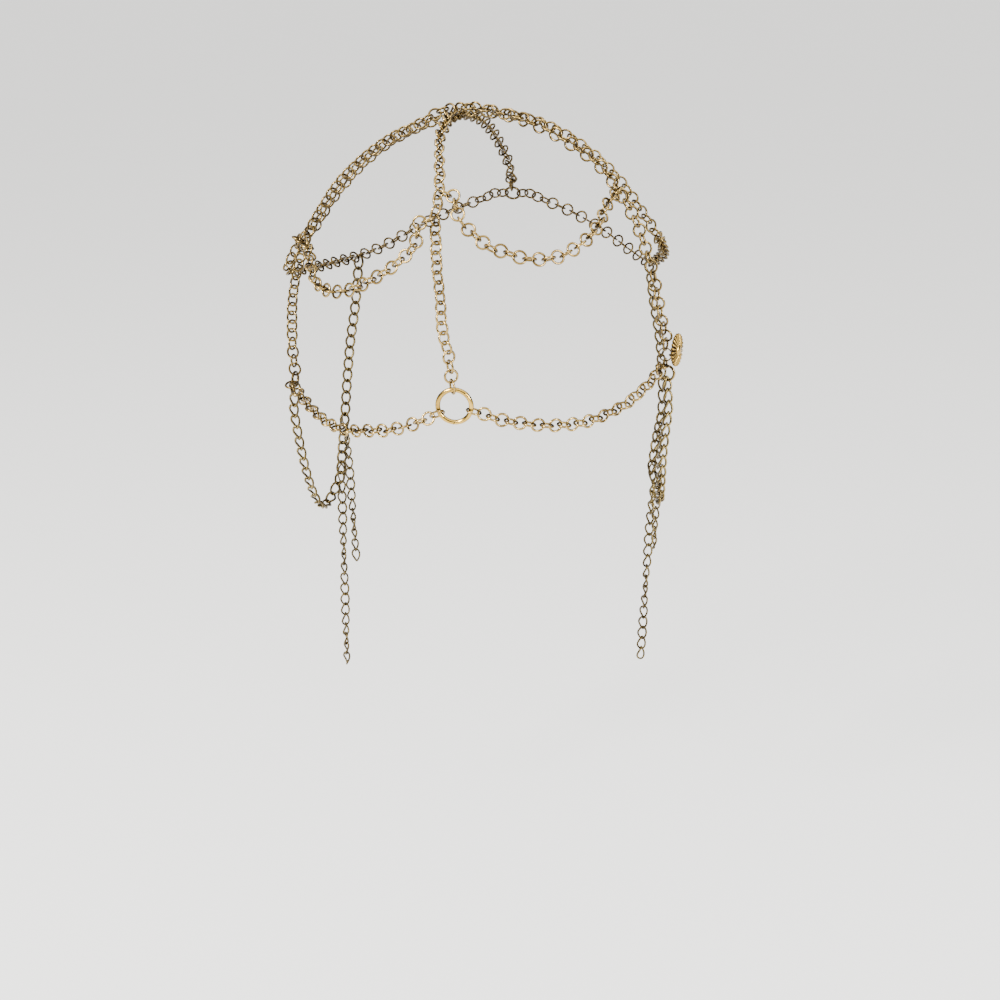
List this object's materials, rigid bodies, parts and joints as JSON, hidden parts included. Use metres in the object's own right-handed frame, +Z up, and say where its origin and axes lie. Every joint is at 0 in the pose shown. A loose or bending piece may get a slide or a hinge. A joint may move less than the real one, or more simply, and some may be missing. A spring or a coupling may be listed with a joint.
{
  "type": "hair chain",
  "caption": "Worn head net of round-link chain with a nape ring, front chains round the forehead and curb chain with dangles beside the face.",
  "frame": {"origin": "the point of the enclosed hollow's surface under the crown link, where the chain sits on the crown", "axes": "+Z up, -Y the way the wearer faces, +X the wearer's left"},
  "size_m": [0.1754, 0.1772, 0.2731],
  "materials": {
    "pale_gold": "polished pale gold plate",
    "curb_gold": "polished pale gold plate",
    "deep_gold": "polished yellow gold plate"
  },
  "bodies": {
    "root": {"centre_chain": "pale_gold", "side_chain_left": "pale_gold", "side_chain_right": "pale_gold", "back_swag_left": "pale_gold", "back_swag_right": "pale_gold", "nape_chain_left": "pale_gold", "nape_chain_right": "pale_gold", "nape_ring": "deep_gold", "nape_jump_top": "pale_gold", "nape_jump_left": "pale_gold", "nape_jump_right": "pale_gold", "temple_ring_left": "pale_gold", "temple_ring_right": "pale_gold", "temple_thin_ring": "pale_gold", "temple_small_link": "pale_gold", "temple_medallion": "deep_gold", "front_centre_chain": "pale_gold", "front_chain_left": "pale_gold", "front_chain_right": "pale_gold", "forehead_ring": "pale_gold", "face_drape_left": "curb_gold", "face_drape_right": "curb_gold", "long_dangle_left": "curb_gold", "long_dangle_right": "curb_gold", "short_dangle_left": "curb_gold", "short_dangle_right": "curb_gold"}
  },
  "joints": []
}
